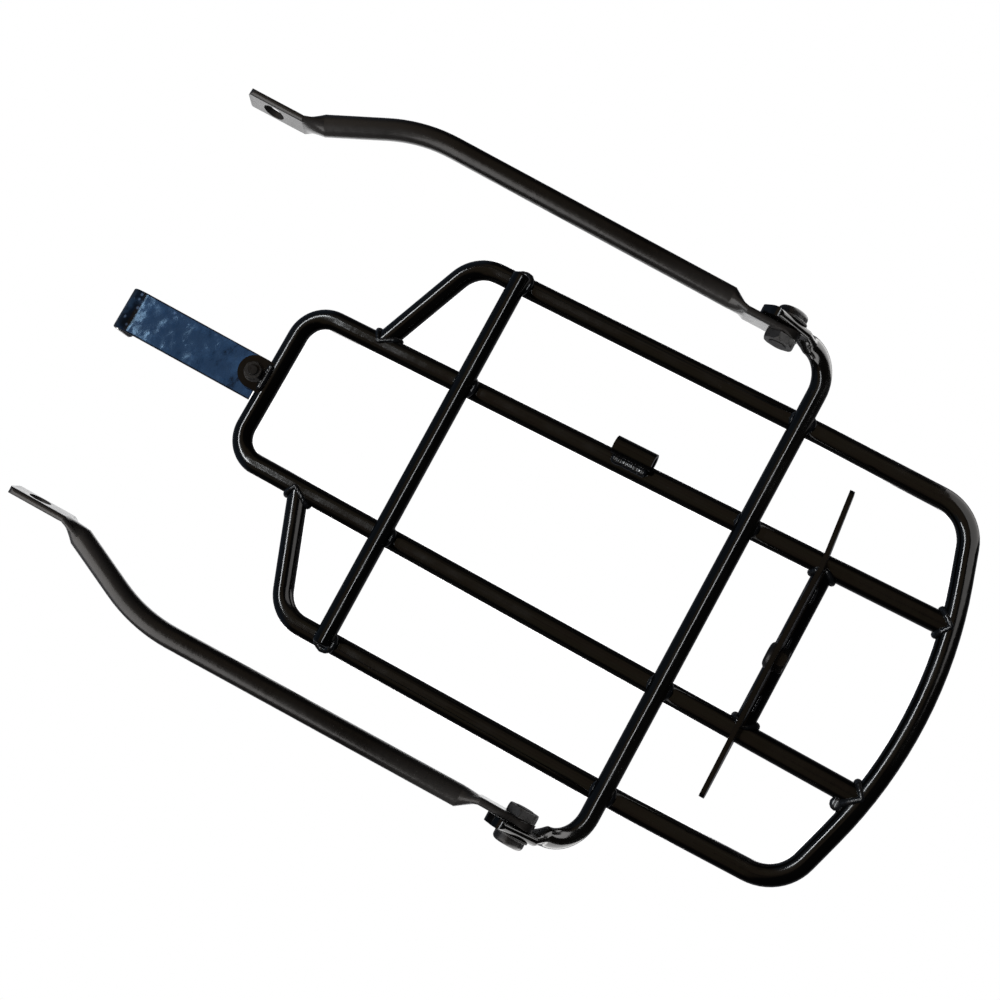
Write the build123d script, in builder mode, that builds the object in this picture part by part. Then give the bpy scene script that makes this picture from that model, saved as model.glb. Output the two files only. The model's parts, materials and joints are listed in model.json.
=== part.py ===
"""Folding luggage rack for a small bicycle: a welded tube deck, a front bracket and two folding stays.

Frame: millimetres, +X towards the bicycle's front, +Y to its left, +Z up. The origin is the
centre of the front bracket's bolt hole, on the flange's front face. The centre lines of both
deck loops lie in the plane Z = 0. The bracket is fixed a little to the right of the rack's
middle plane, so each piece is drawn about that plane and moves MIDDLE_Y to the left on saving.
"""

from build123d import *
from math import asin, atan2, cos, degrees, radians, sin, sqrt, tan
import os

# Tube and bar stock
RAIL_D = 10.0
RAIL_WALL = 1.5
BAR_D = 9.0
BAR_WALL = 1.4
WELD_GAP = 0.05

# The rack's middle plane, left of the bracket's hole
MIDDLE_Y = 3.1

# Deck, stations along X
BAR_X = -83.5
ROD_X = -171.8
HOOP_X = -317.0
REAR_TUBE_X = -355.8
APEX_X = -417.9

# Inner loop: half spacing of its two rails at the front bar and at the rear bow
INNER_FRONT_Y = 39.3
INNER_REAR_Y = 41.5
INNER_CORNER_R = 14.5

# Outer loop: diagonal, rail with a slight kink, rear corner, rear bow
DIAGONAL_X = -122.6
OUTER_FRONT_X = -145.4
OUTER_FRONT_Y = 95.3
OUTER_KINK_X = -327.0
OUTER_KINK_Y = 92.95
OUTER_REAR_Y = 90.5
FRONT_BEND_R = 17.5
KINK_R = 400.0
REAR_BEND_R = 21.0
BOW_R = 214.0
BOW_HALF_ANGLE = 16.5
BOW_COPE_TURN = 20.0

# Front cross rod, which is welded on slightly askew
ROD_HALF = 97.5
ROD_END_R = 1.4
ROD_SKEW = 0.65

# Support hoop: a planar U whose plane leans forwards and down from the deck
HOOP_LEAN = 43.5
HOOP_LEG_Y = 121.1
HOOP_SHIFT = 1.1
HOOP_BEND_R = 16.0
PIVOT_REACH = 31.7
HOOP_TAB_Y = 123.2
HOOP_TAB_TIP = 13.3
HOOP_TAB_W = 14.4
HOOP_TAB_T = 4.1
HOOP_TAB_CORNER_R = 5.0
HOOP_TAB_START = 8.5

# Folding stays: lengths are from the pivot, along the stay
STAY_Y = 122.0
STAY_FOLD = {"left": 10.4, "right": 12.3}
STAY_TAB_W = 14.8
STAY_TAB_T = 3.6
STAY_TAB_SHIFT = 2.8
STAY_FLAT_END = 18.5
STAY_SHOULDER = 27.0
STAY_KNEE = 181.5
STAY_KNEE_OUT = 1.3
STAY_TOE = 229.5
STAY_TOE_IN = 21.3
STAY_KNEE_R = 70.0
STAY_SQUEEZE = 9.5
STAY_TIP = 256.4
AXLE_TAB_T = 3.1
AXLE_TAB_ROLL = 6.0
STAY_TIP_CORNER_R = 3.0
AXLE_HOLE_U = 244.2
AXLE_HOLE_R = 5.0

# Pivot bolts, M8, with thin nuts
M8_R = 4.0
M8_FLATS = 13.0
M8_NUT_H = 3.8
M8_TAIL = 0.4
M8_HEAD_R = 7.0
M8_HEAD_H = 3.8
M8_WASHER_R = 7.8
M8_WASHER_H = 0.9
M8_WASHER_HOLE_R = 4.25
M8_SOCKET = 5.0
M8_SOCKET_DEPTH = 2.4
PIVOT_RUNNING = 0.08
PIVOT_SIDE_GAP = 0.15

# Front bracket: a bent strip that slopes down from the front bar to an upright flange
STRIP_W = 21.5
STRIP_T = 2.0
STRIP_SLOPE = 12.0
STRIP_BEND_R = 9.5
STRIP_EDGE_R = 0.7
STRIP_START = 5.4
STRIP_DROP = 1.5
FLANGE_TOP = 9.5
FLANGE_HOLE_R = 3.25
FLANGE_CORNER_R = 3.0
LUG_T = 3.0
LUG_R = 8.2
LUG_Y = -1.0
BOLT_REACH = 8.8
M5_R = 2.5
M5_FLATS = 8.0
M5_NUT_H = 4.0
M5_HOLE_R = 2.75
M5_HEAD_R = 3.5
M5_HEAD_H = 1.6
M5_WASHER_R = 5.0
M5_WASHER_H = 1.0
M5_TAIL = 1.6

# Reflector plate: upright under the rear cross tube, its left wing bent forwards
PLATE_X = -354.9
PLATE_T = 2.2
PLATE_HALF = 73.5
PLATE_DEPTH = 26.0
PLATE_TIP_DEPTH = 12.0
PLATE_MIDDLE_HALF = 20.0
PLATE_SHOULDER_HALF = 34.0
PLATE_SHOULDER_RISE = 5.0
PLATE_TIP_R = 3.5
WING_BEND_Y = 36.0
WING_BEND_R = 30.0
WING_FORWARD = 4.2

# Reflector bolt, M6, with a thin nut
REFLECTOR_BOLT_Y = -6.2
REFLECTOR_BOLT_Z = -15.0
M6_R = 3.0
M6_HOLE_R = 3.2
M6_FLATS = 10.0
M6_NUT_H = 3.2
M6_WASHER_R = 6.0
M6_WASHER_H = 0.8
M6_TAIL = 0.3
DOME_R = 6.3
DOME_H = 2.9
DOME_SOCKET = 4.0
DOME_SOCKET_DEPTH = 1.6

# Accessory bush: a short tube on the outer lower side of the left inner rail
BUSH_X = -257.8
BUSH_LENGTH = 20.0
BUSH_BORE_R = 3.0
BUSH_ANGLE = 54.5


def ring_face(plane, diameter):
    """A full circle drawn as four quarter arcs, so that it lofts cleanly to a flattened section."""
    with BuildSketch(plane) as section:
        with BuildLine():
            for start in (45, 135, 225, 315):
                CenterArc((0, 0), diameter / 2, start, 90)
        make_face()
    return section.sketch


def flat_face(plane, width, thickness):
    """A squeezed tube's section: two flat walls with half-round edges, its width along local X."""
    edge = (width - thickness) / 2
    half = thickness / 2
    with BuildSketch(plane) as section:
        with BuildLine():
            Line((edge, half), (-edge, half))
            ThreePointArc((-edge, half), (-width / 2, 0), (-edge, -half))
            Line((-edge, -half), (edge, -half))
            ThreePointArc((edge, -half), (width / 2, 0), (edge, half))
        make_face()
    return section.sketch


def sweep_tube(path, diameter, wall):
    """Adds a hollow round tube along the wire path."""
    with BuildSketch(Plane(origin=path @ 0, z_dir=path % 0)) as section:
        Circle(diameter / 2)
        Circle(diameter / 2 - wall, mode=Mode.SUBTRACT)
    sweep(section.sketch, path=path)


def drill(plane, radius, depth):
    """Cuts a round hole, depth to each side of the plane."""
    with BuildSketch(plane) as hole:
        Circle(radius)
    extrude(hole.sketch, amount=depth, both=True, mode=Mode.SUBTRACT)


def add_disc(plane, radius, height, bore=0):
    """Adds a disc, or a ring where there's a bore, that stands on the plane."""
    with BuildSketch(plane) as disc:
        Circle(radius)
        if bore:
            Circle(bore, mode=Mode.SUBTRACT)
    extrude(disc.sketch, amount=height)


def add_hex_nut(plane, flats, bore, height, turn=0):
    """Adds a hexagon nut. Its outer face, whose corners are turned down, lies in the plane."""
    with BuildSketch(plane) as hexagon:
        RegularPolygon(flats / 2, 6, major_radius=False, rotation=turn)
        Circle(bore, mode=Mode.SUBTRACT)
    with BuildSketch(plane) as cone:
        Circle(flats / 2 + 0.25)
    extrude(hexagon.sketch, amount=height)
    extrude(cone.sketch, amount=height, taper=-30, mode=Mode.INTERSECT)


def cut_socket(plane, flats, depth):
    """Cuts a hexagon socket down from a bolt head's top, which lies in the plane."""
    with BuildSketch(plane) as socket:
        RegularPolygon(flats / 2, 6, major_radius=False)
    extrude(socket.sketch, amount=-depth, mode=Mode.SUBTRACT)


def save(part, name):
    """Moves one finished piece from the rack's middle plane to the frame, labels it and writes it."""
    placed = part.part.moved(Location((0, MIDDLE_Y, 0)))
    placed.label = name
    export_step(placed, f"parts/{name}.step")


def inner_rail_y(x):
    """The inner rails toe out slightly towards the rear: the centre line's half spacing at x."""
    share = (BAR_X - x) / (BAR_X - APEX_X)
    return INNER_FRONT_Y + share * (INNER_REAR_Y - INNER_FRONT_Y)


def bow_x(y):
    """The rear bow's centre line, an arc about a point on the rack's centre plane."""
    return APEX_X + BOW_R - sqrt(BOW_R**2 - y**2)


def cut_inner_rail(side, from_x, to_x):
    """Copes the part round a stretch of one inner rail, so that it stops at the rail's wall."""
    front = Vector(from_x, side * inner_rail_y(from_x), 0)
    rear = Vector(to_x, side * inner_rail_y(to_x), 0)
    with BuildSketch(Plane(origin=front, z_dir=rear - front)) as rail:
        Circle(RAIL_D / 2 + WELD_GAP)
    extrude(rail.sketch, amount=(rear - front).length, mode=Mode.SUBTRACT)


def half_outer_loop(side):
    """Half of the outer loop's centre line, from its diagonal to the middle of the rear bow."""
    turn = radians(BOW_HALF_ANGLE)
    centre_x = APEX_X + BOW_R
    bow_end = (centre_x - BOW_R * cos(turn), BOW_R * sin(turn))
    corner_x = bow_end[0] + (OUTER_REAR_Y - bow_end[1]) * tan(turn)
    FilletPolyline(
        (DIAGONAL_X, side * INNER_FRONT_Y),
        (OUTER_FRONT_X, side * OUTER_FRONT_Y),
        (OUTER_KINK_X, side * OUTER_KINK_Y),
        (corner_x, side * OUTER_REAR_Y),
        (bow_end[0], side * bow_end[1]),
        radius=(FRONT_BEND_R, KINK_R, REAR_BEND_R),
    )
    half = turn / 2
    bow_mid = (centre_x - BOW_R * cos(half), side * BOW_R * sin(half))
    ThreePointArc((bow_end[0], side * bow_end[1]), bow_mid, (APEX_X, 0))


def outer_loop():
    """One bent tube: diagonal, outer rail, rear bow, outer rail, diagonal."""
    with BuildPart() as loop:
        with BuildLine() as path:
            half_outer_loop(1)
            half_outer_loop(-1)
        sweep_tube(path.wire(), RAIL_D, RAIL_WALL)
        cut_inner_rail(1, DIAGONAL_X + 3 * RAIL_D, DIAGONAL_X - 3 * RAIL_D)
        cut_inner_rail(-1, DIAGONAL_X + 3 * RAIL_D, DIAGONAL_X - 3 * RAIL_D)
    save(loop, "outer_loop_tube")


def inner_loop():
    """One bent tube: the front bar and the two inner rails, coped against the rear bow."""
    rear_x = bow_x(INNER_REAR_Y)
    rear_y = inner_rail_y(rear_x)
    with BuildPart() as loop:
        with BuildLine() as path:
            FilletPolyline(
                (rear_x, rear_y),
                (BAR_X, INNER_FRONT_Y),
                (BAR_X, -INNER_FRONT_Y),
                (rear_x, -rear_y),
                radius=INNER_CORNER_R,
            )
        sweep_tube(path.wire(), RAIL_D, RAIL_WALL)
        centre = (APEX_X + BOW_R, 0, 0)
        for turn in (-BOW_COPE_TURN, BOW_COPE_TURN):
            with BuildSketch(Plane.XZ) as bow:
                with Locations((APEX_X, 0)):
                    Circle(RAIL_D / 2 + WELD_GAP)
            revolve(bow.sketch, axis=Axis(centre, (0, 0, 1)), revolution_arc=turn, mode=Mode.SUBTRACT)
    save(loop, "inner_loop_tube")


def front_cross_rod():
    """A straight solid rod laid across the underside of all four rails, its ends rounded over."""
    skew = radians(ROD_SKEW)
    under = -(RAIL_D + BAR_D) / 2 - WELD_GAP
    along = Vector(sin(skew), cos(skew), 0)
    middle = Plane(origin=(ROD_X, 0, under), x_dir=(0, 0, 1), z_dir=along)
    with BuildPart() as rod:
        with BuildSketch(middle):
            Circle(BAR_D / 2)
        extrude(amount=ROD_HALF, both=True)
        fillet(rod.edges().filter_by(GeomType.CIRCLE), radius=ROD_END_R)
    save(rod, "front_cross_rod")


def rear_cross_tube():
    """A straight tube between the inner rails, coped to them at both ends."""
    with BuildPart() as tube:
        with BuildSketch(Plane.XZ.offset(-INNER_REAR_Y)):
            with Locations((REAR_TUBE_X, 0)):
                Circle(BAR_D / 2)
                Circle(BAR_D / 2 - BAR_WALL, mode=Mode.SUBTRACT)
        extrude(amount=2 * INNER_REAR_Y)
        cut_inner_rail(1, REAR_TUBE_X + BAR_D, REAR_TUBE_X - BAR_D)
        cut_inner_rail(-1, REAR_TUBE_X + BAR_D, REAR_TUBE_X - BAR_D)
    save(tube, "rear_cross_tube")


def hoop_point(along, y):
    """A point of the hoop's leaning plane: along is the distance down the lean from its cross run."""
    lean = radians(HOOP_LEAN)
    drop = (RAIL_D + BAR_D) / 2 + WELD_GAP
    return Vector(HOOP_X + along * cos(lean), y, -drop - along * sin(lean))


def hoop_leg_y(side):
    """Where one leg of the hoop stands: the whole hoop is welded on slightly to the left."""
    return side * HOOP_LEG_Y + HOOP_SHIFT


def hoop_plane(along, y):
    """A plane across one leg of the hoop, local X across the leg within its flattened face."""
    lean = radians(HOOP_LEAN)
    return Plane(
        origin=hoop_point(along, y),
        x_dir=(sin(lean), 0, cos(lean)),
        z_dir=(cos(lean), 0, -sin(lean)),
    )


def pivot_plane(side, distance):
    """A plane square to a pivot at this distance from the rack's middle, its normal outwards."""
    pivot = hoop_point(PIVOT_REACH, side * distance)
    return Plane(origin=pivot, x_dir=(1, 0, 0), z_dir=(0, side, 0))


def hoop_tab(side):
    """Squeezes one leg's end flat, drills it for the pivot and rounds the tip's corners."""
    lean = radians(HOOP_LEAN)
    flat_start = PIVOT_REACH - HOOP_TAB_START
    tip = PIVOT_REACH + HOOP_TAB_TIP
    leg_y = hoop_leg_y(side)
    tab_y = side * HOOP_TAB_Y
    flat = flat_face(hoop_plane(flat_start, tab_y), HOOP_TAB_W, HOOP_TAB_T)
    loft([ring_face(hoop_plane(HOOP_BEND_R, leg_y), BAR_D), flat])
    extrude(flat, amount=tip - flat_start)
    bore = ring_face(hoop_plane(HOOP_BEND_R, leg_y), BAR_D - 2 * BAR_WALL)
    pinch = flat_face(hoop_plane(flat_start - 2.5, 0.4 * leg_y + 0.6 * tab_y), 6.0, 0.8)
    loft([bore, pinch], mode=Mode.SUBTRACT)
    drill(pivot_plane(side, HOOP_TAB_Y), M8_R + 0.02, HOOP_TAB_T)
    corner_plane = Plane(
        origin=hoop_point(tip, side * HOOP_TAB_Y),
        x_dir=(cos(lean), 0, -sin(lean)),
        z_dir=(0, 1, 0),
    )
    with BuildSketch(corner_plane) as corners:
        Rectangle(2 * HOOP_TAB_CORNER_R, 2 * HOOP_TAB_W)
        with Locations((-2 * HOOP_TAB_CORNER_R, 0)):
            RectangleRounded(
                4 * HOOP_TAB_CORNER_R, HOOP_TAB_W + 0.1, HOOP_TAB_CORNER_R, mode=Mode.SUBTRACT
            )
    extrude(corners.sketch, amount=HOOP_TAB_T, both=True, mode=Mode.SUBTRACT)


def support_hoop():
    """The U-shaped tube under the deck that carries both stays on its flattened ends."""
    with BuildPart() as hoop:
        with BuildLine() as path:
            FilletPolyline(
                hoop_point(HOOP_BEND_R, hoop_leg_y(1)),
                hoop_point(0, hoop_leg_y(1)),
                hoop_point(0, hoop_leg_y(-1)),
                hoop_point(HOOP_BEND_R, hoop_leg_y(-1)),
                radius=HOOP_BEND_R - 0.01,
            )
        sweep_tube(path.wire(), BAR_D, BAR_WALL)
        hoop_tab(1)
        hoop_tab(-1)
    save(hoop, "support_hoop")


def stay_frame(name, side):
    """The stay's own axes, from its pivot: local X along the folded stay, local Z upwards."""
    fold = radians(STAY_FOLD[name])
    return Plane(
        origin=hoop_point(PIVOT_REACH, side * STAY_Y),
        x_dir=(cos(fold), 0, -sin(fold)),
        z_dir=(sin(fold), 0, cos(fold)),
    )


def stay_plane(frame, along, aside, turn=0, roll=0):
    """A plane across the stay, local X upwards, turned about the upright and rolled, in degrees."""
    forward = frame.x_dir.rotate(Axis((0, 0, 0), frame.z_dir), turn)
    upwards = frame.z_dir.rotate(Axis((0, 0, 0), forward), roll)
    origin = frame.from_local_coords((along, aside, 0))
    return Plane(origin=origin, x_dir=upwards, z_dir=forward)


def flank_plane(frame, along, aside, roll=0):
    """A plane along one of the stay's flat ends, square to the hole through it."""
    origin = frame.from_local_coords((along, aside, 0))
    across = Vector(0, 1, 0).rotate(Axis((0, 0, 0), frame.x_dir), roll)
    return Plane(origin=origin, x_dir=frame.x_dir, z_dir=across)


def stay_pivot_end(frame, side, toe_out):
    """The squeezed pivot end: its flat lies towards the rack's middle and ends in a half circle."""
    shift = -side * STAY_TAB_SHIFT
    flat = flat_face(stay_plane(frame, STAY_FLAT_END, shift), STAY_TAB_W, STAY_TAB_T)
    shoulder = stay_plane(frame, STAY_SHOULDER, 0, toe_out)
    loft([flat, ring_face(shoulder, RAIL_D)])
    extrude(flat, amount=-STAY_FLAT_END - STAY_TAB_W / 2)
    pinch = flat_face(stay_plane(frame, STAY_FLAT_END + 3.5, 0.7 * shift), 7.0, 0.8)
    bore = ring_face(shoulder, RAIL_D - 2 * RAIL_WALL)
    loft([pinch, bore], mode=Mode.SUBTRACT)
    with BuildSketch(flank_plane(frame, 0, shift)) as corners:
        with Locations((-STAY_TAB_W / 2, 0)):
            Rectangle(STAY_TAB_W, 2 * STAY_TAB_W)
        Circle(STAY_TAB_W / 2 - 0.05, mode=Mode.SUBTRACT)
    extrude(corners.sketch, amount=STAY_TAB_T, both=True, mode=Mode.SUBTRACT)
    drill(flank_plane(frame, 0, shift), M8_R + PIVOT_RUNNING, STAY_TAB_T)


def stay_axle_end(frame, side, jog_end, turn):
    """The squeezed wheel end: it turns back parallel to the stay and takes the axle."""
    jog = -side * STAY_TOE_IN
    roll = side * AXLE_TAB_ROLL
    toe_flat = STAY_TOE + 2.5
    outer = ring_face(stay_plane(frame, *jog_end, turn), RAIL_D)
    bore = ring_face(stay_plane(frame, *jog_end, turn), RAIL_D - 2 * RAIL_WALL)
    toe = stay_plane(frame, STAY_TOE, jog, turn / 2, roll)
    squeezed = flat_face(toe, STAY_TAB_W, AXLE_TAB_T)
    flat = flat_face(stay_plane(frame, toe_flat, jog, 0, roll), STAY_TAB_W, AXLE_TAB_T)
    pinch = flat_face(stay_plane(frame, STAY_TOE - 3.0, 0.94 * jog, turn), 7.0, 0.8)
    loft([outer, squeezed])
    loft([squeezed, flat])
    extrude(flat, amount=STAY_TIP - toe_flat)
    loft([bore, pinch], mode=Mode.SUBTRACT)
    drill(flank_plane(frame, AXLE_HOLE_U, jog, roll), AXLE_HOLE_R, STAY_TAB_T)
    with BuildSketch(flank_plane(frame, STAY_TIP, jog, roll)) as corners:
        Rectangle(2 * STAY_TIP_CORNER_R, 2 * STAY_TAB_W)
        with Locations((-2 * STAY_TIP_CORNER_R, 0)):
            RectangleRounded(
                4 * STAY_TIP_CORNER_R, STAY_TAB_W + 0.1, STAY_TIP_CORNER_R, mode=Mode.SUBTRACT
            )
    extrude(corners.sketch, amount=STAY_TAB_T, both=True, mode=Mode.SUBTRACT)


def stay(name, side):
    """One folding stay: a tube with a knee, squeezed flat at its pivot and at its wheel end."""
    frame = stay_frame(name, side)
    run = STAY_TOE - STAY_KNEE
    jog = STAY_TOE_IN + STAY_KNEE_OUT
    length = sqrt(run**2 + jog**2)
    share = 1 - STAY_SQUEEZE / length
    jog_end = (STAY_KNEE + share * run, side * (STAY_KNEE_OUT - share * jog))
    turn = -side * degrees(asin(jog / length))
    with BuildPart() as tube:
        with BuildLine() as path:
            FilletPolyline(
                frame.from_local_coords((STAY_SHOULDER, 0, 0)),
                frame.from_local_coords((STAY_KNEE, side * STAY_KNEE_OUT, 0)),
                frame.from_local_coords((*jog_end, 0)),
                radius=STAY_KNEE_R,
            )
        sweep_tube(path.wire(), RAIL_D, RAIL_WALL)
        stay_pivot_end(frame, side, side * degrees(atan2(STAY_KNEE_OUT, STAY_KNEE - STAY_SHOULDER)))
        stay_axle_end(frame, side, jog_end, turn)
    save(tube, f"{name}_stay")


def pivot_bolt(name, side, shank_start, head_seat):
    """A button-head bolt put in from outside; its shank ends just past the nut."""
    with BuildPart() as bolt:
        add_disc(pivot_plane(side, head_seat), M8_HEAD_R, M8_HEAD_H)
        crown = bolt.faces().sort_by(Axis.Y)[-1 if side > 0 else 0]
        fillet(crown.edges(), radius=M8_HEAD_H / 2)
        add_disc(pivot_plane(side, shank_start), M8_R, head_seat - shank_start)
        cut_socket(pivot_plane(side, head_seat + M8_HEAD_H), M8_SOCKET, M8_SOCKET_DEPTH)
    save(bolt, f"{name}_pivot_bolt")


def pivot_hardware(name, side):
    """Bolt, washer and thin nut at one pivot."""
    hoop_outer = HOOP_TAB_Y + HOOP_TAB_T / 2
    stay_inner = STAY_Y - STAY_TAB_SHIFT - STAY_TAB_T / 2
    nut_end = stay_inner - PIVOT_SIDE_GAP - M8_NUT_H
    pivot_bolt(name, side, nut_end - M8_TAIL, hoop_outer + M8_WASHER_H)
    with BuildPart() as washer:
        add_disc(pivot_plane(side, hoop_outer), M8_WASHER_R, M8_WASHER_H, M8_WASHER_HOLE_R)
    save(washer, f"{name}_pivot_washer")
    with BuildPart() as nut:
        add_hex_nut(pivot_plane(side, nut_end), M8_FLATS, M8_R, M8_NUT_H, turn=30)
    save(nut, f"{name}_pivot_nut")


def bracket_plane(depth, along=0, y=0):
    """A plane parallel to the bracket's strip, depth below the front bar's centre line."""
    slope = radians(STRIP_SLOPE)
    x = BAR_X + along * cos(slope) - depth * sin(slope)
    z = -along * sin(slope) - depth * cos(slope)
    return Plane(
        origin=(x, y, z), x_dir=(cos(slope), 0, -sin(slope)), z_dir=(sin(slope), 0, cos(slope))
    )


def front_bracket():
    """The bent strip. Its square end stands against the front bar, which keeps it from turning."""
    start = bracket_plane(STRIP_DROP - STRIP_T / 2, STRIP_START, -MIDDLE_Y).origin
    flange_x = -STRIP_T / 2
    corner_z = start.Z - (flange_x - start.X) * tan(radians(STRIP_SLOPE))
    with BuildPart() as strip:
        with BuildLine() as path:
            FilletPolyline(
                start,
                (flange_x, -MIDDLE_Y, corner_z),
                (flange_x, -MIDDLE_Y, FLANGE_TOP),
                radius=STRIP_BEND_R,
            )
        bar_end = Plane(origin=start, x_dir=(0, 1, 0), z_dir=bracket_plane(0).x_dir)
        with BuildSketch(bar_end) as section:
            Rectangle(STRIP_W, STRIP_T)
        sweep(section.sketch, path=path.wire())
        top = strip.edges().filter_by(Axis.X).group_by(Axis.Z)[-1]
        fillet(top, radius=FLANGE_CORNER_R)
        by_side = strip.edges().group_by(Axis.Y)
        rims = [edge for edge in by_side[0] + by_side[-1] if edge.length > 1.5 * STRIP_T]
        fillet(rims, radius=STRIP_EDGE_R)
        flange = Plane(origin=(0, -MIDDLE_Y, 0), x_dir=(0, 1, 0), z_dir=(1, 0, 0))
        drill(flange, FLANGE_HOLE_R, 2 * STRIP_T)
        drill(bracket_plane(0, BOLT_REACH, LUG_Y), M5_HOLE_R, STRIP_T)
    save(strip, "front_bracket")


def bracket_lug():
    """The round-ended lug welded under the front bar, which the strip is bolted to."""
    with BuildPart() as lug:
        with BuildSketch(bracket_plane(STRIP_DROP + LUG_T)) as outline:
            with Locations((BOLT_REACH / 2, LUG_Y)):
                Rectangle(BOLT_REACH, 2 * LUG_R)
            with Locations((BOLT_REACH, LUG_Y)):
                Circle(LUG_R)
                Circle(M5_HOLE_R, mode=Mode.SUBTRACT)
        extrude(amount=LUG_T)
        with BuildSketch(Plane.XZ.offset(-2 * LUG_R)) as bar:
            with Locations((BAR_X, 0)):
                Circle(RAIL_D / 2 + WELD_GAP)
        extrude(bar.sketch, amount=4 * LUG_R, mode=Mode.SUBTRACT)
    save(lug, "bracket_lug")


def bracket_hardware():
    """A low-head bolt down through strip and lug, with a washer and a nut underneath."""
    top = STRIP_DROP - STRIP_T
    washer = STRIP_DROP + LUG_T + M5_WASHER_H
    nut = washer + M5_NUT_H
    with BuildPart() as bolt:
        add_disc(bracket_plane(top, BOLT_REACH, LUG_Y), M5_HEAD_R, M5_HEAD_H)
        fillet(bolt.edges().group_by(Axis.Z)[-1], radius=M5_HEAD_H / 2)
        shank_end = bracket_plane(nut + M5_TAIL, BOLT_REACH, LUG_Y)
        add_disc(shank_end, M5_R, nut + M5_TAIL - top)
    save(bolt, "bracket_bolt")
    with BuildPart() as ring:
        add_disc(bracket_plane(washer, BOLT_REACH, LUG_Y), M5_WASHER_R, M5_WASHER_H, M5_HOLE_R)
    save(ring, "bracket_washer")
    with BuildPart() as hexagon:
        add_hex_nut(bracket_plane(nut, BOLT_REACH, LUG_Y), M5_FLATS, M5_R, M5_NUT_H, turn=30)
    save(hexagon, "bracket_nut")


def plate_outline():
    """The reflector plate's outline, deep in the middle and shallow at its tips, seen along X."""
    wing_top = -RAIL_D / 2 - WELD_GAP
    middle_top = -BAR_D / 2 - WELD_GAP
    bottom = wing_top - PLATE_DEPTH
    step = inner_rail_y(PLATE_X) - RAIL_D / 2 - 1.0
    outline = [
        (step - 1.0, middle_top),
        (step, wing_top),
        (PLATE_HALF, wing_top),
        (PLATE_HALF, wing_top - PLATE_TIP_DEPTH),
        (PLATE_SHOULDER_HALF, bottom + PLATE_SHOULDER_RISE),
        (PLATE_MIDDLE_HALF, bottom),
    ]
    mirrored = [(-y, z) for y, z in reversed(outline)]
    with BuildSketch(Plane.YZ.offset(PLATE_X)) as face:
        with BuildLine():
            Polyline(*outline, *mirrored, close=True)
        make_face()
        tips = [v for v in face.vertices() if abs(v.X) > PLATE_HALF - 0.1]
        fillet(tips, radius=PLATE_TIP_R)
    return face.sketch


def reflector_plate():
    """An upright plate hung from the rear cross tube, its left wing bent forwards."""
    with BuildPart() as plate:
        with BuildLine(Plane.XY.offset(-2 * PLATE_DEPTH)) as plan:
            FilletPolyline(
                (PLATE_X, -PLATE_HALF - PLATE_T),
                (PLATE_X, WING_BEND_Y),
                (PLATE_X + WING_FORWARD, PLATE_HALF + PLATE_T),
                radius=WING_BEND_R,
            )
        start = plan.wire() @ 0
        with BuildSketch(Plane(origin=start, x_dir=(1, 0, 0), z_dir=(0, 1, 0))) as section:
            Rectangle(PLATE_T, 6 * PLATE_DEPTH)
        sweep(section.sketch, path=plan.wire())
        extrude(plate_outline(), amount=2 * PLATE_DEPTH, both=True, mode=Mode.INTERSECT)
        drill(reflector_plane(PLATE_X), M6_HOLE_R, PLATE_T)
    save(plate, "reflector_plate")


def reflector_plane(x):
    """A plane square to the reflector bolt, centred on it, its normal towards the front."""
    centre = (x, REFLECTOR_BOLT_Y, REFLECTOR_BOLT_Z)
    return Plane(origin=centre, x_dir=(0, 1, 0), z_dir=(1, 0, 0))


def reflector_hardware():
    """The domed bolt through the reflector plate, with a washer and a thin nut behind it."""
    seat = PLATE_X + PLATE_T / 2
    washer_back = PLATE_X - PLATE_T / 2 - M6_WASHER_H
    nut_back = washer_back - M6_NUT_H
    tail = nut_back - M6_TAIL
    with BuildPart() as bolt:
        add_disc(reflector_plane(seat), DOME_R, DOME_H)
        crown = bolt.faces().sort_by(Axis.X)[-1]
        fillet(crown.edges(), radius=DOME_H - 0.4)
        add_disc(reflector_plane(tail), M6_R, seat - tail)
        cut_socket(reflector_plane(seat + DOME_H), DOME_SOCKET, DOME_SOCKET_DEPTH)
    save(bolt, "reflector_bolt")
    with BuildPart() as washer:
        add_disc(reflector_plane(washer_back), M6_WASHER_R, M6_WASHER_H, M6_HOLE_R)
    save(washer, "reflector_washer")
    with BuildPart() as nut:
        add_hex_nut(reflector_plane(nut_back), M6_FLATS, M6_R, M6_NUT_H)
    save(nut, "reflector_nut")


def accessory_bush():
    """A short open tube on the outer lower side of the left inner rail."""
    angle = radians(BUSH_ANGLE)
    distance = (RAIL_D + BAR_D) / 2 + 2 * WELD_GAP
    y = inner_rail_y(BUSH_X) + distance * cos(angle)
    z = -distance * sin(angle)
    with BuildPart() as bush:
        with BuildSketch(Plane.YZ.offset(BUSH_X - BUSH_LENGTH / 2)):
            with Locations((y, z)):
                Circle(BAR_D / 2)
                Circle(BUSH_BORE_R, mode=Mode.SUBTRACT)
        extrude(amount=BUSH_LENGTH)
    save(bush, "accessory_bush")


def main():
    os.makedirs("parts", exist_ok=True)
    outer_loop()
    inner_loop()
    front_cross_rod()
    rear_cross_tube()
    support_hoop()
    front_bracket()
    bracket_lug()
    bracket_hardware()
    reflector_plate()
    reflector_hardware()
    accessory_bush()
    for name, side in (("left", 1), ("right", -1)):
        stay(name, side)
        pivot_hardware(name, side)


main()
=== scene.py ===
"""Looks of a folding luggage rack: paint, weld beads, small hardware detail, studio light and camera.

Everything is in metres in the rack's own frame: +X towards the bicycle's front, +Y to its left,
+Z up. The camera looks up at the rack's underside. Light levels are radiances: gloss black paint
gives back about 4 % of what it reflects, so a box of 1 draws a dark grey band and a box of 25
draws a white line.
"""

import json
import math

import bmesh
import bpy
from mathutils import Matrix, Vector, noise

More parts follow.
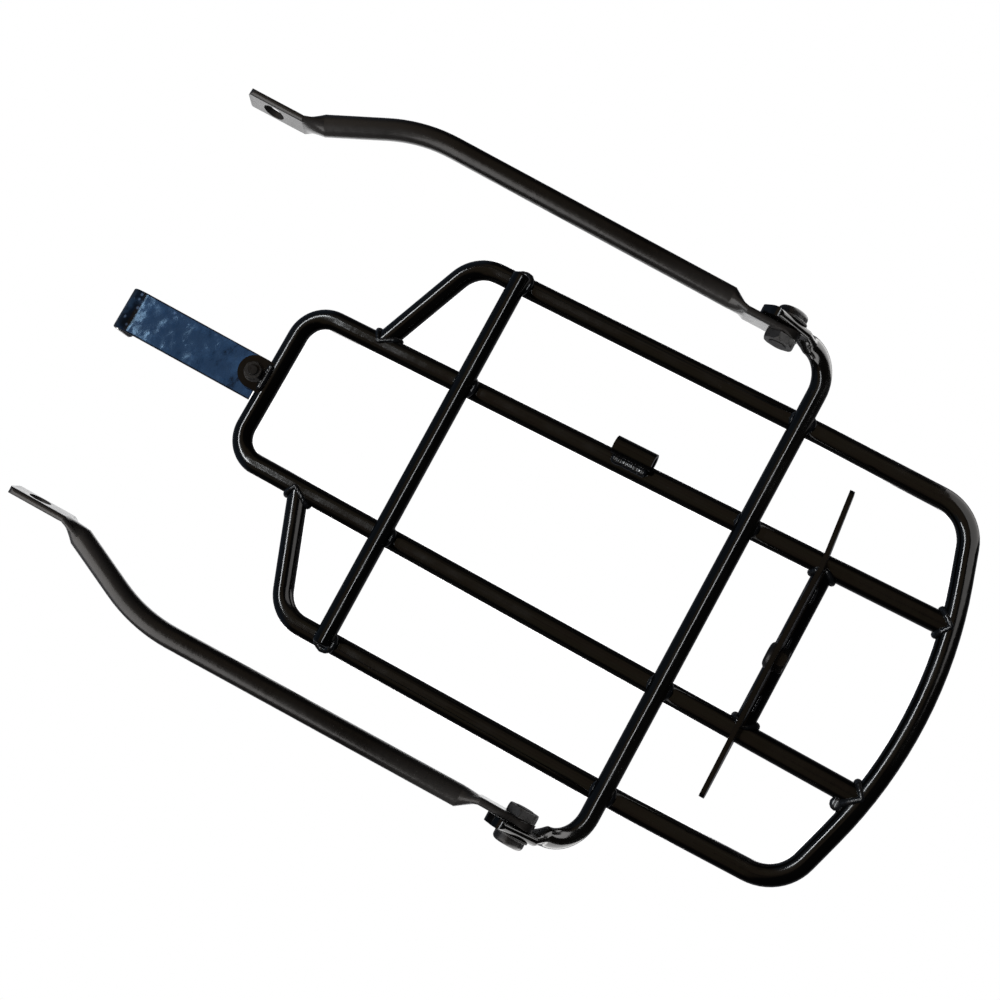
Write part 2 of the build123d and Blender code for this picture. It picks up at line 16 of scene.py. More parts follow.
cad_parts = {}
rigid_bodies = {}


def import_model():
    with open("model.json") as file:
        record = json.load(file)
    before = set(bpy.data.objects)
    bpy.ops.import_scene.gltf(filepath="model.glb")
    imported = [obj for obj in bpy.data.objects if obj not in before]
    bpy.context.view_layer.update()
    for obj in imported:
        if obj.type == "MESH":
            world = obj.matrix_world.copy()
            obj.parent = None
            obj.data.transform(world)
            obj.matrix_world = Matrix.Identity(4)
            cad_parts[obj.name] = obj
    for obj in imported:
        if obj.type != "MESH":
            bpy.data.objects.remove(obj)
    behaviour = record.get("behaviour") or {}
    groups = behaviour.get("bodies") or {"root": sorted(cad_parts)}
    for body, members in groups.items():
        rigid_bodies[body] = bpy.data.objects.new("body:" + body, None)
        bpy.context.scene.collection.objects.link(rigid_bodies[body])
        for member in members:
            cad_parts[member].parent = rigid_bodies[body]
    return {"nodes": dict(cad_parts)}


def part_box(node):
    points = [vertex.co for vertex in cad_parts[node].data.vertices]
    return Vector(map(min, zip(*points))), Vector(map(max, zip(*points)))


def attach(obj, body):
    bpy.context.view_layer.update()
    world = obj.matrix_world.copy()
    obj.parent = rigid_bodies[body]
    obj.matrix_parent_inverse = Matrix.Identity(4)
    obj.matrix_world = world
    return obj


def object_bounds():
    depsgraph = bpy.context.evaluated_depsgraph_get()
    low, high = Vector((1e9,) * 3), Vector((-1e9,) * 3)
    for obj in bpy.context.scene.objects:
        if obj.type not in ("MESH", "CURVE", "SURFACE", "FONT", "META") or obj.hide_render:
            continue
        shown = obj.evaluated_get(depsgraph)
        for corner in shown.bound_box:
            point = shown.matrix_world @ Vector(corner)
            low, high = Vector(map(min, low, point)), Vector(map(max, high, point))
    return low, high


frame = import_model()
cad_low, cad_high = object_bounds()

MM = 0.001

# ---------------------------------------------------------------- sizes read from the CAD model

outer_low, outer_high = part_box("outer_loop_tube")
inner_low, inner_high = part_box("inner_loop_tube")
rod_low, rod_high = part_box("front_cross_rod")
cross_low, cross_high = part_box("rear_cross_tube")
hoop_low, hoop_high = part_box("support_hoop")
bush_low, bush_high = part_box("accessory_bush")
lug_low, lug_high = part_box("bracket_lug")

RAIL_R = outer_high.z
BAR_R = cross_high.z
MIDDLE_Y = (outer_low.y + outer_high.y) / 2
BAR_X = inner_high.x - RAIL_R
APEX_X = outer_low.x + RAIL_R
ROD_X = (rod_low.x + rod_high.x) / 2
ROD_Z = (rod_low.z + rod_high.z) / 2
HOOP_X = hoop_low.x + BAR_R
HOOP_Z = hoop_high.z - BAR_R
CROSS_X = (cross_low.x + cross_high.x) / 2
INNER_REAR_HALF = (inner_high.y - inner_low.y) / 2 - RAIL_R

# Half spacings and stations of the bent loops and the plate, as designed
INNER_FRONT_HALF = 0.0393
OUTER_FRONT = (-0.1454, 0.0953)
OUTER_KINK = (-0.3270, 0.09295)
DIAGONAL_FOOT = (-0.1226, 0.0393)
BOW_RADIUS = 0.214
BUSH_ANGLE = math.radians(54.5)
STRIP_SLOPE = math.radians(12)
ROD_SKEW = math.radians(0.65)
PLATE_X = -0.3549


def inner_half(x):
    """Half the spacing of the inner rails at x."""
    share = (BAR_X - x) / (BAR_X - APEX_X)
    return INNER_FRONT_HALF + share * (INNER_REAR_HALF - INNER_FRONT_HALF)


def outer_half(x):
    """Half the spacing of the outer rails at x."""
    share = (OUTER_FRONT[0] - x) / (OUTER_FRONT[0] - OUTER_KINK[0])
    return OUTER_FRONT[1] + share * (OUTER_KINK[1] - OUTER_FRONT[1])


# ---------------------------------------------------------------- materials


COAT_ROUGHNESS = 0.05


class Nodes:
    """A short way to write a node tree: each call adds one node and returns its output socket."""

    def __init__(self, owner):
        owner.use_nodes = True
        self.tree = owner.node_tree
        self.tree.nodes.clear()
        self.place = self.add("ShaderNodeTexCoord").outputs["Object"]

    def add(self, kind, **settings):
        node = self.tree.nodes.new(kind)
        for name, value in settings.items():
            setattr(node, name, value)
        return node

    def link(self, source, socket):
        self.tree.links.new(source, socket)

    def noise(self, scale, detail=2.0, roughness=0.5, stretch=None):
        """Noise with features about 1 / scale across, shorter along an axis where stretch is larger."""
        node = self.add("ShaderNodeTexNoise")
        node.inputs["Scale"].default_value = scale
        node.inputs["Detail"].default_value = detail
        node.inputs["Roughness"].default_value = roughness
        place = self.place
        if stretch is not None:
            mapping = self.add("ShaderNodeMapping")
            mapping.inputs["Scale"].default_value = stretch
            self.link(place, mapping.inputs["Vector"])
            place = mapping.outputs["Vector"]
        self.link(place, node.inputs["Vector"])
        return node.outputs["Fac"]

    def ramp(self, source, *stops):
        """Colours between stops, each a position and an RGB colour or a grey."""
        node = self.add("ShaderNodeValToRGB")
        elements = node.color_ramp.elements
        while len(elements) < len(stops):
            elements.new(0.5)
        for element, (position, colour) in zip(elements, stops):
            element.position = position
            if isinstance(colour, float):
                colour = (colour, colour, colour)
            element.color = (*colour, 1.0)
        self.link(source, node.inputs["Fac"])
        return node.outputs["Color"]

    def mix(self, factor, a, b):
        """Mixes two colour sockets or colours."""
        node = self.add("ShaderNodeMix", data_type="RGBA")
        for value, socket in ((factor, node.inputs[0]), (a, node.inputs[6]), (b, node.inputs[7])):
            if isinstance(value, bpy.types.NodeSocket):
                self.link(value, socket)
            elif isinstance(value, float):
                socket.default_value = value
            else:
                socket.default_value = (*value, 1.0)
        return node.outputs[2]

    def span(self, source, low, high, to_low=0.0, to_high=1.0):
        """Maps a value from one range to another, clamped."""
        node = self.add("ShaderNodeMapRange")
        limits = {"From Min": low, "From Max": high, "To Min": to_low, "To Max": to_high}
        for name, value in limits.items():
            node.inputs[name].default_value = value
        self.link(source, node.inputs["Value"])
        return node.outputs["Result"]

    def axis(self, name):
        """One coordinate of the place."""
        node = self.add("ShaderNodeSeparateXYZ")
        self.link(self.place, node.inputs["Vector"])
        return node.outputs[name]

    def bump(self, height, distance, below=None):
        """A normal that follows a height, distance metres deep, on top of the normal below."""
        node = self.add("ShaderNodeBump")
        node.inputs["Distance"].default_value = distance
        node.inputs["Strength"].default_value = 1.0
        self.link(height, node.inputs["Height"])
        if below is not None:
            self.link(below, node.inputs["Normal"])
        return node.outputs["Normal"]

    def worn_edges(self, radius):
        """The surface's own normal, rounded over each edge within radius, as thick paint rounds it."""
        node = self.add("ShaderNodeBevel", samples=4)
        node.inputs["Radius"].default_value = radius
        return node.outputs["Normal"]

    def surface(self, colour, roughness, normal, metallic=0.0, coat=0.0):
        """The finished surface; its clear coat is always glossier than what it covers."""
        shader = self.add("ShaderNodeBsdfPrincipled")
        self.link(colour, shader.inputs["Base Color"])
        self.link(roughness, shader.inputs["Roughness"])
        self.link(normal, shader.inputs["Normal"])
        shader.inputs["Metallic"].default_value = metallic
        shader.inputs["Coat Weight"].default_value = coat
        shader.inputs["Coat Roughness"].default_value = COAT_ROUGHNESS
        output = self.add("ShaderNodeOutputMaterial")
        self.link(shader.outputs["BSDF"], output.inputs["Surface"])


def dust_specks(nodes, scale, reach):
    """Sparse specks of dust under the lacquer: 1 on a speck, 0 elsewhere."""
    cells = nodes.add("ShaderNodeTexVoronoi")
    cells.inputs["Scale"].default_value = scale
    nodes.link(nodes.place, cells.inputs["Vector"])
    near = nodes.span(cells.outputs["Distance"], reach, 0.5 * reach)
    patches = nodes.span(nodes.noise(0.09 * scale), 0.58, 0.66)
    both = nodes.add("ShaderNodeMath", operation="MULTIPLY")
    nodes.link(near, both.inputs[0])
    nodes.link(patches, both.inputs[1])
    return both.outputs["Value"]


def enamel(name, dark, light, speck, roughness, peel, coat, edge=None):
    """Sprayed gloss enamel: slow colour drift, dust specks, uneven gloss and orange peel."""
    material = bpy.data.materials.new(name)
    nodes = Nodes(material)
    drift = nodes.ramp(nodes.noise(22, 4.0), (0.35, dark), (0.7, light))
    colour = nodes.mix(dust_specks(nodes, 420, 0.16), drift, speck)
    gloss = nodes.span(nodes.noise(70, 3.0), 0.35, 0.65, roughness[0], roughness[1])
    rounded = nodes.worn_edges(edge) if edge else None
    ripple = nodes.bump(nodes.noise(260, 1.5), 0.00004 * peel, below=rounded)
    grain = nodes.bump(nodes.noise(1400, 2.0), 0.000003 * peel, below=ripple)
    nodes.surface(colour, gloss, grain, coat=coat)
    return material


def strip_enamel():
    """The bracket strip's thick glossy enamel: clouded blue-black, with dust and slow waves."""
    material = bpy.data.materials.new("strip_enamel")
    nodes = Nodes(material)
    drift = nodes.ramp(
        nodes.noise(115, 4.0, 0.60),
        (0.36, (0.0006, 0.0016, 0.004)),
        (0.52, (0.006, 0.018, 0.036)),
        (0.68, (0.075, 0.140, 0.205)),
    )
    colour = nodes.mix(dust_specks(nodes, 260, 0.26), drift, (0.50, 0.58, 0.66))
    gloss = nodes.span(nodes.noise(240, 4.0), 0.3, 0.7, 0.08, 0.20)
    waves = nodes.bump(nodes.noise(110, 1.5), 0.0007, below=nodes.worn_edges(0.6 * MM))
    peel = nodes.bump(nodes.noise(620, 2.0), 0.00005, below=waves)
    nodes.surface(colour, gloss, peel, coat=0.3)
    return material


# Where along X the painted sheen that greys the stays' ends starts, and where it is full
PIVOT_END_SHEEN = (-0.225, -0.275)
WHEEL_END_SHEEN = (-0.140, -0.075)


def stay_enamel():
    """Thinner, duller paint on the stays, rubbed along them, with a painted sheen that makes them greyest
    towards both ends.
    """
    material = bpy.data.materials.new("stay_enamel")
    nodes = Nodes(material)
    rubbed = nodes.noise(26, 5.0, 0.6, stretch=(0.35, 2.5, 2.5))
    drift = nodes.ramp(rubbed, (0.3, (0.006, 0.005, 0.0048)), (0.75, (0.016, 0.015, 0.014)))
    x = nodes.axis("X")
    # Painted sheen: the colour turns grey towards both ends of each stay, standing in for their paler
    # reflection
    sheen_ends = nodes.add("ShaderNodeMath", operation="MAXIMUM")
    nodes.link(nodes.span(x, *PIVOT_END_SHEEN), sheen_ends.inputs[0])
    nodes.link(nodes.span(x, *WHEEL_END_SHEEN), sheen_ends.inputs[1])
    with_painted_sheen = nodes.mix(sheen_ends.outputs["Value"], drift, (0.055, 0.053, 0.052))
    colour = nodes.mix(dust_specks(nodes, 480, 0.15), with_painted_sheen, (0.09, 0.09, 0.09))
    gloss = nodes.span(nodes.noise(90, 3.0), 0.3, 0.7, 0.24, 0.34)
    ripple = nodes.bump(nodes.noise(300, 2.0), 0.00010, below=nodes.worn_edges(0.5 * MM))
    grain = nodes.bump(nodes.noise(1500, 2.0), 0.00002, below=ripple)
    nodes.surface(colour, gloss, grain, coat=0.15)
    return material


def coated_steel():
    """Black-coated fixings: fine grain, brighter where edges have rubbed."""
    material = bpy.data.materials.new("coated_steel")
    nodes = Nodes(material)
    drift = nodes.ramp(nodes.noise(300, 4.0), (0.3, (0.010, 0.010, 0.011)), (0.75, (0.030, 0.029, 0.028)))
    edges = nodes.add("ShaderNodeNewGeometry").outputs["Pointiness"]
    colour = nodes.mix(nodes.span(edges, 0.54, 0.62, 0.0, 0.5), drift, (0.10, 0.10, 0.10))
    gloss = nodes.span(nodes.noise(500, 3.0), 0.3, 0.7, 0.24, 0.40)
    grain = nodes.bump(nodes.noise(2200, 3.0), 0.00003, below=nodes.worn_edges(0.4 * MM))
    nodes.surface(colour, gloss, grain, metallic=0.35)
    return material


BLACK = enamel(
    "gloss_black",
    dark=(0.0010, 0.0009, 0.0008),
    light=(0.0024, 0.0021, 0.0016),
    speck=(0.02, 0.02, 0.02),
    roughness=(0.10, 0.20),
    peel=1.6,
    coat=0.15,
)
WELD = enamel(
    "weld_enamel",
    dark=(0.003, 0.003, 0.0035),
    light=(0.010, 0.011, 0.013),
    speck=(0.08, 0.09, 0.1),
    roughness=(0.16, 0.32),
    peel=2.2,
    coat=0.3,
)
PLATE = enamel(
    "plate_enamel",
    dark=(0.004, 0.004, 0.0045),
    light=(0.011, 0.011, 0.012),
    speck=(0.05, 0.05, 0.05),
    roughness=(0.24, 0.34),
    peel=1.6,
    coat=0.2,
    edge=0.5 * MM,
)
STRIP = strip_enamel()
STAY = stay_enamel()
FIXING = coated_steel()

MATERIAL_OF = {"front_bracket": STRIP, "reflector_plate": PLATE, "left_stay": STAY, "right_stay": STAY}
FIXING_ENDS = ("_bolt", "_washer", "_nut")

for node_name, cad_piece in frame["nodes"].items():
    cad_material = FIXING if node_name.endswith(FIXING_ENDS) else MATERIAL_OF.get(node_name, BLACK)
    cad_piece.data.materials.clear()
    cad_piece.data.materials.append(cad_material)


# ---------------------------------------------------------------- weld beads


def add_bead(name, mesh):
    """Puts a finished bead in the scene: smooth, painted, riding on the frame."""
    data = bpy.data.meshes.new(name)
    mesh.to_mesh(data)
    mesh.free()
    piece = bpy.data.objects.new(name, data)
    bpy.context.scene.collection.objects.link(piece)
    piece.data.materials.append(WELD)
    piece.data.shade_smooth()
    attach(piece, "frame")


# One ripple of a bead: its length, its rings of points, the points in a ring, and its unevenness
BEAD_PITCH = 2.0 * MM
BEAD_STEPS = 6
BEAD_SIDES = 12
RIPPLE_DEPTH = 0.07
SWELL = 0.22
GRIT = 0.06

BEAD_SEED = 7
noise.seed_set(BEAD_SEED)


def even_points(points, closed, step):
    """The same path with points about one step apart."""
    corners = list(points) + ([points[0]] if closed else [])
    lengths = [(b - a).length for a, b in zip(corners, corners[1:])]
    total = sum(lengths)
    count = max(BEAD_STEPS, round(total / step))
    found = []
    for i in range(count if closed else count + 1):
        left = total * i / count
        for a, b, length in zip(corners, corners[1:], lengths):
            if left <= length or b is corners[-1]:
                found.append(a.lerp(b, min(1.0, left / max(length, 1e-9))))
                break
            left -= length
    return found


def weld_bead(name, points, radius, closed=True, thin=0.0):
    """A weld bead: overlapping ripples along a path, a little uneven like hand work.

    The bead thins by the share thin where it runs over or under the deck's tubes.
    """
    path = even_points(points, closed, BEAD_PITCH / BEAD_STEPS)
    count = len(path)
    seed = Vector((sum(ord(letter) for letter in name) * 0.37, 0, 0))
    mesh = bmesh.new()
    rings = []
    for i, point in enumerate(path):
        before = path[i - 1] if closed or i > 0 else point
        after = path[(i + 1) % count] if closed or i < count - 1 else point
        along = (after - before).normalized()
        side = along.cross(Vector((0, 0, 1)))
        side = side.normalized() if side.length > 0.2 else along.cross(Vector((0, 1, 0))).normalized()
        rise = side.cross(along)
        phase = (i % BEAD_STEPS) / BEAD_STEPS
        ripple = 1 - RIPPLE_DEPTH * (2 * phase - 1) ** 2
        ripple *= 1 + SWELL * noise.noise(point * 260 + seed)
        ripple *= 1 - thin * min(1.0, abs(point.z) / RAIL_R)
        end = 1.0 if closed else min(1.0, (min(i, count - 1 - i) + 0.4) / BEAD_STEPS)
        size = radius * ripple * math.sqrt(end * (2 - end))
        rings.append([
            mesh.verts.new(
                point
                + size * (math.cos(turn) * side + math.sin(turn) * rise)
                + GRIT * radius * noise.noise_vector(point * 900 + seed)
            )
            for turn in (2 * math.pi * k / BEAD_SIDES for k in range(BEAD_SIDES))
        ])
    pairs = list(zip(rings, rings[1:])) + ([(rings[-1], rings[0])] if closed else [])
    for ring, following in pairs:
        for k in range(BEAD_SIDES):
            m = (k + 1) % BEAD_SIDES
            mesh.faces.new((ring[k], ring[m], following[m], following[k]))
    if not closed:
        mesh.faces.new(list(reversed(rings[0])))
        mesh.faces.new(rings[-1])
    bmesh.ops.recalc_face_normals(mesh, faces=mesh.faces)
    add_bead(name, mesh)


LINE_POINTS = 48
CROSSING_POINTS = 40


def saddle(foot, main_axis, branch, main_r, branch_r, lift):
    """The closed line where a branch tube, leaving foot on the main tube's axis, meets its wall."""
    up = Vector((0, 0, 1))
    across = up.cross(branch).normalized()
    outward = (branch - branch.dot(main_axis) * main_axis).normalized()
    line = []
    for k in range(LINE_POINTS):
        turn = 2 * math.pi * k / LINE_POINTS
        spread = math.cos(turn) * across + math.sin(turn) * up
        offset = branch_r * spread
        reach = math.sqrt(max(0.0, main_r**2 - offset.z**2))
        travel = (reach - offset.dot(outward)) / branch.dot(outward)
        line.append(foot + offset + travel * branch + lift * (spread + outward).normalized())
    return line


def crossing(x, y, upper_z, lower_z, spread):
    """The closed line round the point where a bar lies across a rail, wavy as both are round."""
    middle = (upper_z - RAIL_R + lower_z + BAR_R) / 2
    line = []
    for k in range(CROSSING_POINTS):
        turn = 2 * math.pi * k / CROSSING_POINTS
        dip = -0.9 * MM * math.cos(2 * turn) - 0.2 * MM
        line.append(Vector((x + spread * math.cos(turn), y + spread * math.sin(turn), middle + dip)))
    return line


SIDES = (("left", 1), ("right", -1))
CROSSING_R = 1.9 * MM
CROSSING_SPREAD = 4.2 * MM

for side_name, side in SIDES:
    for rail_name, half in (("inner", inner_half), ("outer", outer_half)):
        rod_y = side * half(ROD_X)
        rod_x = ROD_X + rod_y * math.tan(ROD_SKEW)
        weld_bead(
            f"weld_rod_{rail_name}_{side_name}",
            crossing(rod_x, MIDDLE_Y + rod_y, 0.0, ROD_Z, CROSSING_SPREAD),
            CROSSING_R,
        )
        weld_bead(
            f"weld_hoop_{rail_name}_{side_name}",
            crossing(HOOP_X, MIDDLE_Y + side * half(HOOP_X), 0.0, HOOP_Z, CROSSING_SPREAD),
            CROSSING_R,
        )

TEE_R = 2.0 * MM
TEE_LIFT = 0.5 * MM
TEE_THIN = 0.45
BOW_TEE_R = {"left": 2.1 * MM, "right": 2.4 * MM}
GUSSET_R = 3.4 * MM

for side_name, side in SIDES:
    rail_end = Vector((0, side * INNER_REAR_HALF, 0))
    bow_centre = Vector((APEX_X + BOW_RADIUS, 0, 0))
    rail_end.x = bow_centre.x - math.sqrt(BOW_RADIUS**2 - rail_end.y**2)
    bow_axis = Vector((0, 0, 1)).cross((rail_end - bow_centre).normalized())
    toe = Vector((BAR_X - APEX_X, side * (INNER_FRONT_HALF - INNER_REAR_HALF), 0)).normalized()
    to_middle = Vector((0, MIDDLE_Y, 0))
    weld_bead(
        f"weld_bow_{side_name}",
        saddle(rail_end + to_middle, bow_axis, toe, RAIL_R, RAIL_R, TEE_LIFT),
        BOW_TEE_R[side_name],
        thin=TEE_THIN,
    )
    foot = Vector((DIAGONAL_FOOT[0], side * DIAGONAL_FOOT[1], 0))
    head = Vector((OUTER_FRONT[0], side * OUTER_FRONT[1], 0))
    weld_bead(
        f"weld_diagonal_{side_name}",
        saddle(foot + to_middle, toe, (head - foot).normalized(), RAIL_R, RAIL_R, TEE_LIFT),
        TEE_R,
        thin=TEE_THIN,
    )
    cross_foot = Vector((CROSS_X, MIDDLE_Y + side * inner_half(CROSS_X), 0))
    weld_bead(
        f"weld_cross_tube_{side_name}",
        saddle(cross_foot, toe, Vector((0, -side, 0)), RAIL_R, BAR_R, TEE_LIFT),
        TEE_R,
        thin=TEE_THIN,
    )


def line_weld(name, start, end, radius):
    """A straight bead from start to end."""
    weld_bead(name, [Vector(start), Vector(end)], radius, closed=False)


def bush_welds():
    """The two beads that hold the bush, in the grooves between it and the left inner rail."""
    middle = (bush_low + bush_high) / 2
    rail_y = MIDDLE_Y + inner_half(middle.x)
    outward = Vector((0, math.cos(BUSH_ANGLE), -math.sin(BUSH_ANGLE)))
    across = Vector((0, math.sin(BUSH_ANGLE), math.cos(BUSH_ANGLE)))
    reach = Vector(((bush_high.x - bush_low.x) / 2 - 1.0 * MM, 0, 0))
    for name, aside, radius in (("outside", 2.9 * MM, 1.7 * MM), ("inside", -3.6 * MM, 2.3 * MM)):
        groove = Vector((middle.x, rail_y, 0)) + RAIL_R * outward + aside * across
        line_weld(f"weld_bush_{name}", groove - reach, groove + reach, radius)


def lug_weld():
    """The bead along the front bar's underside that holds the lug, a little shorter than the lug."""
    inset = 1.2 * MM
    y_low = lug_low.y + inset
    y_high = lug_high.y - inset
    along = 2.9 * MM
    depth = 4.9 * MM
    x = BAR_X + along * math.cos(STRIP_SLOPE) - depth * math.sin(STRIP_SLOPE)
    z = -along * math.sin(STRIP_SLOPE) - depth * math.cos(STRIP_SLOPE)
    line_weld("weld_lug", (x, y_low, z), (x, y_high, z), 1.7 * MM)


def plate_welds():
    """Short beads that hang the reflector plate from the cross tube, on its front and its back."""
    aside = 1.7 * MM
    half = Vector((0, 4.5 * MM, 0))
    for i, y in enumerate((-27 * MM, 1 * MM, 26 * MM)):
        for name, x in (("front", PLATE_X + aside), ("back", PLATE_X - aside)):
            middle = Vector((x, MIDDLE_Y + y, -BAR_R - 0.2 * MM))
            line_weld(f"weld_plate_{name}_{i + 1}", middle - half, middle + half, 1.1 * MM)


def corner_gusset():
    """The heavy fillet in the corner between the right inner rail and the rear bow."""
    rail_y = MIDDLE_Y - INNER_REAR_HALF
    corner = Vector((APEX_X + RAIL_R + 7.2 * MM, rail_y - RAIL_R - 1.6 * MM, 0))
    half = Vector((0, 0, 2.6 * MM))
    line_weld("weld_gusset_right", corner - half, corner + half, GUSSET_R)


bush_welds()
corner_gusset()
lug_weld()
plate_welds()


# ---------------------------------------------------------------- stage, light and camera

CAMERA_AT = Vector((-0.3836, -0.0579, -0.6667))
VIEW_AZIMUTH = math.radians(-70.510)
VIEW_ELEVATION = math.radians(-74.670)
VIEW_ROLL = math.radians(137.887)
LENS = 54.0
SENSOR = 36.0

back = Vector((
    math.sin(VIEW_AZIMUTH) * math.cos(VIEW_ELEVATION),
    -math.cos(VIEW_AZIMUTH) * math.cos(VIEW_ELEVATION),
    math.sin(VIEW_ELEVATION),
))


def make_camera():
    """The camera, where the rack is seen from. Returns its turn."""
    data = bpy.data.cameras.new("camera")
    data.lens = LENS
    data.sensor_width = SENSOR
    data.clip_start = 0.01
    data.dof.use_dof = False
    camera = bpy.data.objects.new("camera", data)
    turn = (-back).to_track_quat("-Z", "Y").to_matrix().to_4x4() @ Matrix.Rotation(VIEW_ROLL, 4, "Z")
    camera.matrix_world = Matrix.Translation(CAMERA_AT) @ turn
    bpy.context.scene.collection.objects.link(camera)
    bpy.context.scene.camera = camera
    return turn


view_turn = make_camera()
RIGHT = view_turn.to_3x3() @ Vector((1, 0, 0))
UP = view_turn.to_3x3() @ Vector((0, 1, 0))


def receivers(name, node_names):
    """A collection of the pieces that a light falls on."""
    group = bpy.data.collections.new(name)
    for piece in bpy.context.scene.objects:
        if piece.type == "MESH" and any(part in piece.name for part in node_names):
            group.objects.link(piece)
    return group


def soft_box(name, at, aim, size, radiance, colour, only, long_axis=(0, 1, 0)):
    """A rectangular light at a place, turned to a point, its first side along long_axis.

    It falls only on the pieces whose names hold one of the words in only.
    """
    data = bpy.data.lights.new(name, "AREA")
    data.shape = "RECTANGLE"
    data.size, data.size_y = size
    data.energy = radiance * math.pi * size[0] * size[1]
    data.color = colour
    light = bpy.data.objects.new(name, data)
    z = (Vector(at) - Vector(aim)).normalized()
    x = (Vector(long_axis) - Vector(long_axis).dot(z) * z).normalized()
    y = z.cross(x)
    light.matrix_world = Matrix.Translation(Vector(at)) @ Matrix((x, y, z)).transposed().to_4x4()
    light.visible_camera = False
    bpy.context.scene.collection.objects.link(light)
    light.light_linking.receiver_collection = receivers(f"{name}_on", only)


deck = Vector(((cad_low.x + cad_high.x) / 2, MIDDLE_Y, 0))

# Directions across and along the deck, seen square to the camera
across = 0.46 * RIGHT + 0.89 * UP
rearward = 0.89 * RIGHT - 0.46 * UP

# Names, or parts of names, of the pieces that each light falls on
STRIP_ONLY = ("front_bracket",)
BOW_ONLY = ("outer_loop_tube",)
BARS = ("front_cross_rod", "support_hoop", "bracket_lug", "weld_")
LOOPS = ("inner_loop_tube", "outer_loop_tube", "weld_")
STAYS = ("left_stay", "right_stay")
PIVOTS = ("support_hoop", "pivot_")
UPPER_SIDE = ("outer_loop_tube", "inner_loop_tube", "front_bracket", "reflector_plate")

WHITE = (1.0, 1.0, 1.0)
COOL = (0.93, 0.97, 1.0)
WARM = (1.0, 0.98, 0.97)


def light_strip():
    """A blue window below the rack's front, with a paler pane, that fills the bracket's strip."""
    blue = (0.12, 0.42, 1.0)
    soft_box("window", (0.03, 0.03, -0.62), (-0.04, 0, 0), (0.34, 0.24), 1.45, blue, STRIP_ONLY)
    pale = (0.45, 0.72, 1.0)
    soft_box("window_pane", (0.115, 0.045, -0.62), (-0.02, 0, 0), (0.10, 0.08), 9.0, pale, STRIP_ONLY)


def light_lines():
    """Narrow boxes along Y that draw the thin white lines on the bars that run across the rack."""
    soft_box("line_box", CAMERA_AT + Vector((0.05, -0.02, -0.02)), deck, (0.9, 0.05), 14.0, COOL, BARS)
    soft_box("side_line_box", (1.00, 0.0, -1.9), deck, (1.8, 0.16), 26.0, COOL, LOOPS)


def light_stays():
    """The white surface behind the rack, as the stays' flat ends reflect it, and a dim box."""
    soft_box("white_card", (0.02, 0.0, 0.55), (-0.05, 0.0, 0.0), (1.0, 0.9), 1.6, WHITE, STAYS)
    at = deck - 0.60 * RIGHT - 0.2 * UP + 0.45 * back
    soft_box("stay_box", at, deck, (0.9, 0.7), 2.0, WARM, (*STAYS, "_nut", "_bolt", "_washer"))


def light_bends():
    """Dim boxes beyond the rack's sides that shade the hoop's bends, the pivots and the rear bow."""
    pale = (1.0, 0.99, 0.98)
    for name, way in SIDES:
        at = deck + 0.45 * rearward + way * 0.70 * across
        soft_box(f"pivot_box_{name}", at, deck, (1.3, 0.9), 3.6, pale, PIVOTS, long_axis=back)
    at = deck + 0.60 * RIGHT + 0.25 * UP + 0.20 * back
    soft_box("side_box", at, deck, (1.3, 0.6), 1.3, (1.0, 0.97, 0.95), BOW_ONLY, long_axis=back)


def light_upper_side():
    """Two boxes above that shape the deck's upper side, which the camera doesn't see."""
    soft_box("top_box", deck + Vector((0.25, 0.10, 1.30)), deck, (1.3, 0.7), 3.5, WHITE, UPPER_SIDE)
    at = deck + Vector((0.40, -0.50, 1.50))
    soft_box("top_side_box", at, deck, (0.5, 0.8), 2.5, (1.0, 0.98, 0.96), UPPER_SIDE)


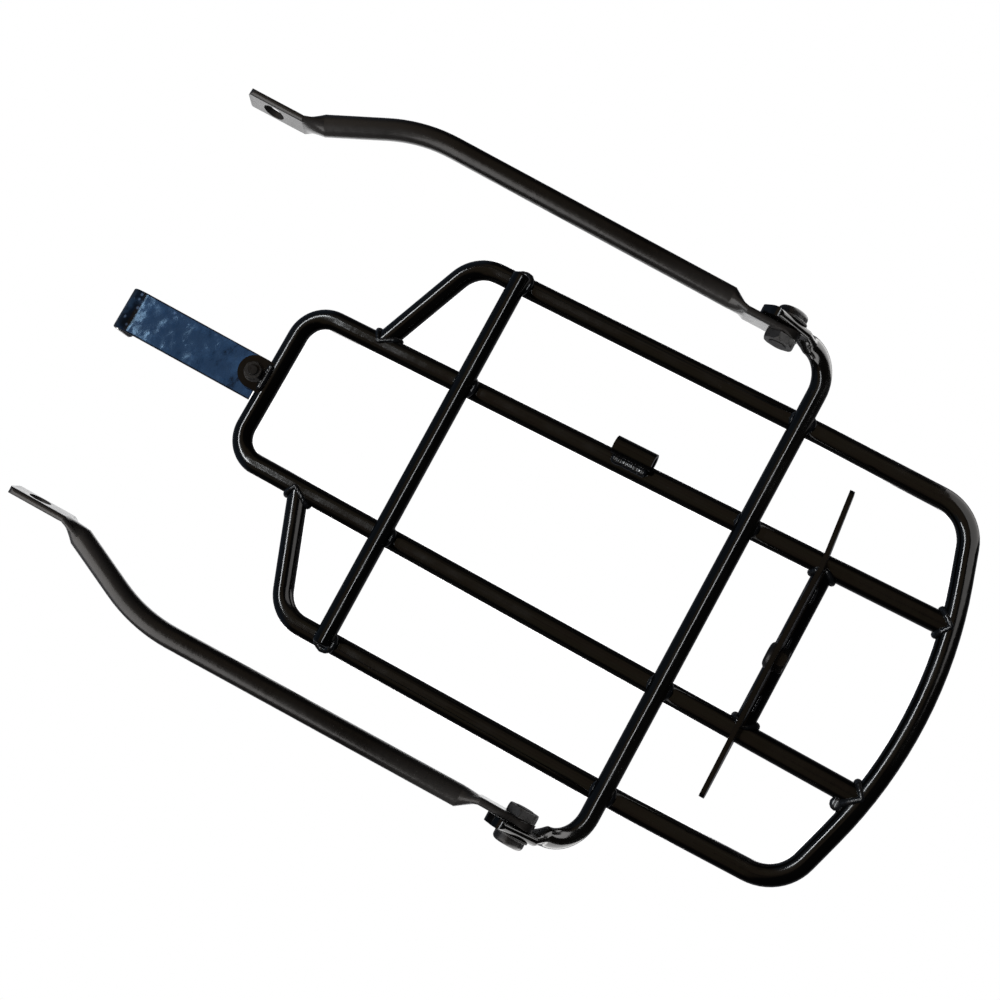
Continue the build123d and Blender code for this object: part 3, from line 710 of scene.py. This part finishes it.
def make_world():
    """White behind the rack. To reflections it is a dark room: olive and brown below, bluish in
    front, with a grey ceiling.
    """
    world = bpy.data.worlds.new("studio")
    nodes = Nodes(world)
    nodes.place = nodes.add("ShaderNodeTexCoord").outputs["Generated"]
    below = nodes.span(nodes.axis("Z"), -0.28, -0.62)
    not_behind = nodes.span(nodes.axis("X"), -0.20, 0.0)
    olive = nodes.add("ShaderNodeMath", operation="MULTIPLY")
    nodes.link(below, olive.inputs[0])
    nodes.link(not_behind, olive.inputs[1])
    streaks = nodes.noise(6.0, 4.0, 0.6, stretch=(1.8, 0.8, 0.8))
    warm = nodes.ramp(
        streaks,
        (0.36, (0.040, 0.036, 0.030)),
        (0.46, (0.22, 0.150, 0.11)),
        (0.56, (0.13, 0.115, 0.065)),
        (0.66, (0.26, 0.21, 0.16)),
    )
    room = nodes.mix(olive.outputs["Value"], (0.010, 0.010, 0.012), warm)
    room = nodes.mix(nodes.span(nodes.axis("X"), 0.42, 0.60), room, (0.06, 0.08, 0.11))
    room = nodes.mix(nodes.span(nodes.axis("Z"), 0.35, 0.85), room, (0.16, 0.16, 0.17))
    shown = nodes.add("ShaderNodeBackground")
    shown.inputs["Color"].default_value = (1, 1, 1, 1)
    reflected = nodes.add("ShaderNodeBackground")
    nodes.link(room, reflected.inputs["Color"])
    mix = nodes.add("ShaderNodeMixShader")
    nodes.link(nodes.add("ShaderNodeLightPath").outputs["Is Camera Ray"], mix.inputs["Fac"])
    nodes.link(reflected.outputs["Background"], mix.inputs[1])
    nodes.link(shown.outputs["Background"], mix.inputs[2])
    output = nodes.add("ShaderNodeOutputWorld")
    nodes.link(mix.outputs["Shader"], output.inputs["Surface"])
    bpy.context.scene.world = world


def make_floor():
    """A pale studio floor, well below the rack and the camera, that only cameras see."""
    mesh = bmesh.new()
    bmesh.ops.create_grid(mesh, x_segments=8, y_segments=8, size=4.0)
    data = bpy.data.meshes.new("studio_floor")
    mesh.to_mesh(data)
    mesh.free()
    floor = bpy.data.objects.new("studio_floor", data)
    floor.location = (deck.x, deck.y, -1.6)
    material = bpy.data.materials.new("studio_floor")
    nodes = Nodes(material)
    glow = nodes.add("ShaderNodeEmission")
    nodes.link(nodes.ramp(nodes.noise(3.0), (0.0, 0.97), (1.0, 1.0)), glow.inputs["Color"])
    output = nodes.add("ShaderNodeOutputMaterial")
    nodes.link(glow.outputs["Emission"], output.inputs["Surface"])
    data.materials.append(material)
    floor.visible_diffuse = False
    floor.visible_glossy = False
    floor.visible_shadow = False
    bpy.context.scene.collection.objects.link(floor)


light_strip()
light_lines()
light_bends()
light_stays()
light_upper_side()
make_world()
make_floor()
bpy.context.scene.view_settings.view_transform = "Standard"
